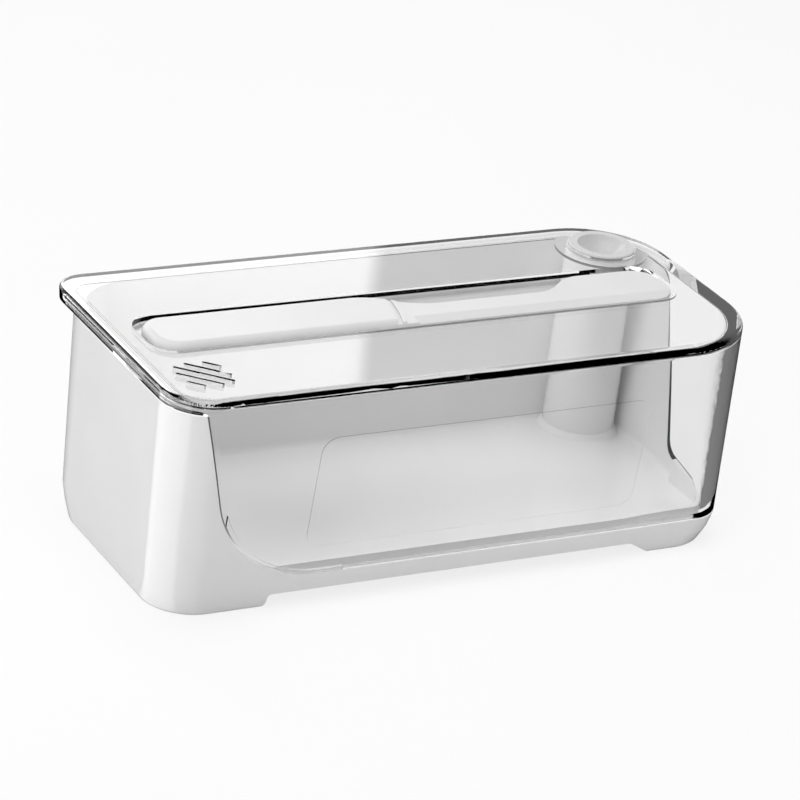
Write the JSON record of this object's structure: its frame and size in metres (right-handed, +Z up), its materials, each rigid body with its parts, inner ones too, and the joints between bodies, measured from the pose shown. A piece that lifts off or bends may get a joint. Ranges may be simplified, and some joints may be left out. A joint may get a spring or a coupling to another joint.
{
  "type": "lidded butter box",
  "caption": "Rounded box for butter with a clear lid that swings aside on a corner post and a butter knife stored in a recess of the lid.",
  "frame": {"origin": "on the table, under the middle of the lid", "axes": "+X along the box towards the corner post's end, +Y to the back, +Z up"},
  "size_m": [0.1898, 0.0872, 0.0684],
  "materials": {
    "white_shell": "glossy moulded white plastic",
    "clear_lid": "polished clear plastic",
    "white_knife": "glossy moulded white plastic",
    "white_cap": "glossy moulded white plastic",
    "screw_steel": "zinc plated"
  },
  "bodies": {
    "tray": {"tray": "white_shell", "pivot_cap": "white_cap", "pivot_screw": "screw_steel"},
    "lid": {"lid": "clear_lid"},
    "knife": {"knife": "white_knife"}
  },
  "joints": [
    {"name": "lid_swing", "type": "hinge", "parent": "tray", "child": "lid", "pos_m": [0.0783, 0.02865, 0.064], "axis": [0, 0, 1], "range_deg": [0, 165]},
    {"name": "knife_lift", "type": "slide", "parent": "lid", "child": "knife", "axis": [0, 0, 1], "range_m": [0, 0.06]}
  ]
}
